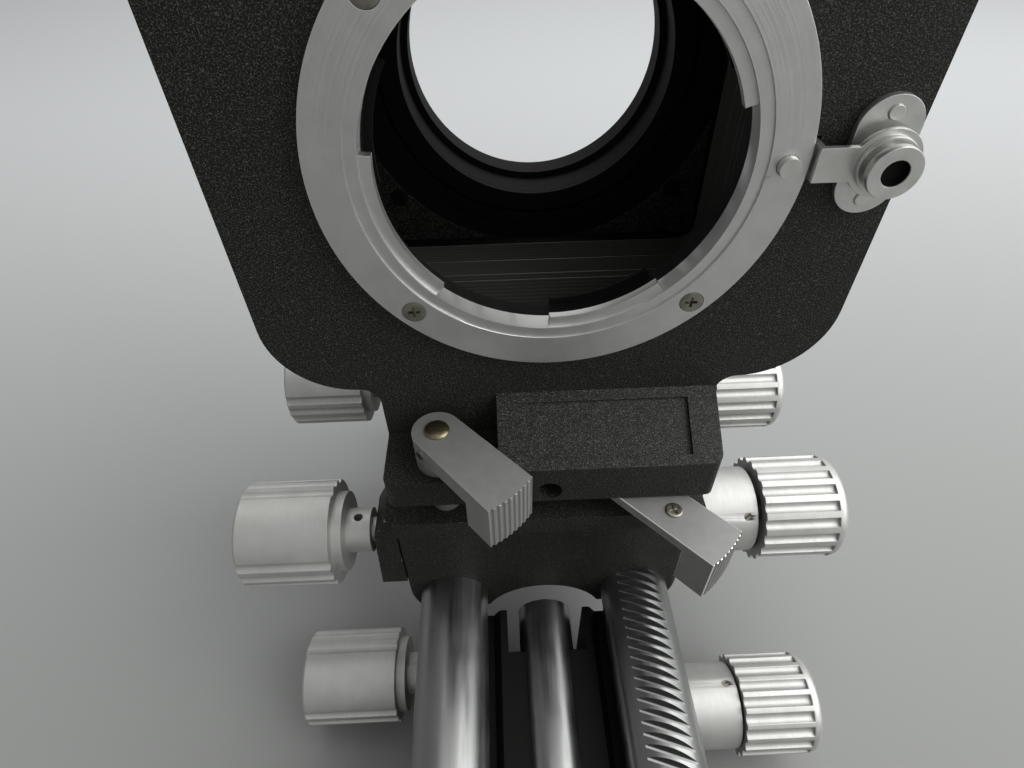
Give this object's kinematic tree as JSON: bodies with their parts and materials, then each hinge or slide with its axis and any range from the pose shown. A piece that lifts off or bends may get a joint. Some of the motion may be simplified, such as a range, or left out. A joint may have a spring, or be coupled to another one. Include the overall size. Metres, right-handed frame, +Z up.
{
  "type": "macro bellows unit",
  "caption": "Macro bellows unit on twin rails: lens standard with shift and swing, pleated bellows, rear camera standard, rack focusing knobs and a driven tripod stage.",
  "frame": {"origin": "centre of the tripod socket's mouth, in the underside of the foot", "axes": "+X to the side of the drive knobs, +Y along the rails from the lens standard to the camera standard, +Z up"},
  "size_m": [0.1223, 0.236, 0.17],
  "materials": {
    "chrome": "polished",
    "satin_chrome": "satin",
    "satin_aluminium": "satin turned",
    "satin_steel": "satin",
    "screw_steel": "plain",
    "brass": "machined",
    "black_crinkle": "fine crinkle paint",
    "black_anodised": "matt black",
    "bellows_cloth": "matt pleated",
    "rubber": "matt"
  },
  "bodies": {
    "stage": {"stage_block": "black_crinkle", "stage_foot": "black_anodised", "foot_screws": "screw_steel", "foot_pad": "rubber", "tripod_bush": "brass", "stage_sleeve": "satin_aluminium", "stage_bush": "brass", "stage_shoe": "brass"},
    "stage_drive": {"stage_pinion": "screw_steel", "stage_drive_knob": "satin_aluminium"},
    "stage_lock": {"stage_lock_knob": "satin_aluminium", "stage_lock_screw": "screw_steel"},
    "rails": {"left_rail": "chrome", "right_rail": "chrome", "centre_rod": "chrome", "front_end_plate": "black_crinkle", "rear_end_plate": "black_crinkle", "end_screws": "screw_steel"},
    "front_standard": {"front_carriage": "black_crinkle", "front_clamp_block": "black_crinkle", "front_bearing": "satin_aluminium", "front_bush": "brass", "front_shoe": "brass"},
    "front_drive": {"front_pinion": "screw_steel", "front_drive_knob": "satin_aluminium"},
    "front_lock": {"front_lock_knob": "satin_aluminium", "front_lock_screw": "screw_steel"},
    "shift": {"shift_plate": "black_crinkle"},
    "shift_clamp": {"shift_lever": "satin_steel"},
    "head": {"front_plate": "black_crinkle", "swing_screw": "screw_steel", "lens_mount": "satin_chrome", "mount_screws": "screw_steel", "bayonet_springs": "screw_steel", "release_plate": "satin_chrome", "release_rivets": "screw_steel", "front_bellows_frame": "black_anodised", "front_frame_screws": "screw_steel"},
    "swing_clamp": {"swing_lever": "satin_steel"},
    "lens_release": {"release_button": "satin_chrome", "lock_bar": "satin_steel", "release_spring": "screw_steel"},
    "rear_standard": {"rear_carriage": "black_crinkle", "rear_plate": "black_crinkle", "rear_plate_screws": "screw_steel", "rear_clamp_block": "black_crinkle", "rear_bearing": "satin_aluminium", "rear_bush": "brass", "rear_shoe": "brass", "rear_bellows_frame": "black_anodised", "rear_frame_screws": "screw_steel", "rear_baffle": "black_anodised", "bellows": "bellows_cloth"},
    "rear_drive": {"rear_pinion": "screw_steel", "rear_drive_knob": "satin_aluminium"},
    "rear_lock": {"rear_lock_knob": "satin_aluminium", "rear_lock_screw": "screw_steel"},
    "camera_ring": {"camera_mount": "satin_chrome", "mount_retainer": "black_anodised"}
  },
  "joints": [
    {"name": "stage_travel", "type": "slide", "parent": "stage", "child": "rails", "axis": [0, 1, 0], "range_m": [0, 0.075]},
    {"name": "stage_knob", "type": "hinge", "parent": "stage", "child": "stage_drive", "pos_m": [0, 0.0075, 0.0142], "axis": [1, 0, 0], "range_deg": [-775, 0]},
    {"name": "stage_locking", "type": "hinge", "parent": "stage", "child": "stage_lock", "pos_m": [-0.03, 0.018, 0.0125], "axis": [1, 0, 0], "range_deg": [0, 180]},
    {"name": "front_travel", "type": "slide", "parent": "rails", "child": "front_standard", "axis": [0, 1, 0], "range_m": [-0.119, 0.004]},
    {"name": "front_knob", "type": "hinge", "parent": "front_standard", "child": "front_drive", "pos_m": [0.02, 0.037, 0.04631], "axis": [1, 0, 0], "range_deg": [-35, 955]},
    {"name": "front_locking", "type": "hinge", "parent": "front_standard", "child": "front_lock", "pos_m": [-0.03, 0.0324, 0.051], "axis": [1, 0, 0], "range_deg": [0, 180]},
    {"name": "shift_travel", "type": "slide", "parent": "front_standard", "child": "shift", "axis": [1, 0, 0], "range_m": [-0.01, 0.01]},
    {"name": "shift_clamping", "type": "hinge", "parent": "shift", "child": "shift_clamp", "pos_m": [0.0109, 0.028, 0.07], "axis": [0, 0, 1], "range_deg": [-45, 0]},
    {"name": "swing", "type": "hinge", "parent": "shift", "child": "head", "pos_m": [0, 0.037, 0.07], "axis": [0, 0, 1], "range_deg": [-25, 25]},
    {"name": "swing_clamping", "type": "hinge", "parent": "head", "child": "swing_clamp", "pos_m": [-0.0182, 0.026, 0.085], "axis": [0, 0, 1], "range_deg": [-55, 0]},
    {"name": "lens_button", "type": "slide", "parent": "head", "child": "lens_release", "axis": [0, 1, 0], "range_m": [0, 0.001], "stiffness_N_per_m": 400, "springref_m": -0.002, "deforming": ["release_spring"]},
    {"name": "rear_travel", "type": "slide", "parent": "rails", "child": "rear_standard", "axis": [0, 1, 0], "range_m": [-0.005, 0.014], "deforming": ["bellows"]},
    {"name": "rear_knob", "type": "hinge", "parent": "rear_standard", "child": "rear_drive", "pos_m": [0.02, 0.0745, 0.04631], "axis": [1, 0, 0], "range_deg": [-115, 45]},
    {"name": "rear_locking", "type": "hinge", "parent": "rear_standard", "child": "rear_lock", "pos_m": [-0.03, 0.0771, 0.051], "axis": [1, 0, 0], "range_deg": [0, 180]},
    {"name": "camera_turn", "type": "hinge", "parent": "rear_standard", "child": "camera_ring", "pos_m": [0, 0.0745, 0.128], "axis": [0, 1, 0], "range_deg": [-90, 90]}
  ],
  "couplings": [
    {"joint": "stage_knob", "follows": "stage_travel", "rad_per_m": -177.78},
    {"joint": "front_knob", "follows": "front_travel", "rad_per_m": -139.13},
    {"joint": "rear_knob", "follows": "rear_travel", "rad_per_m": -139.13}
  ]
}
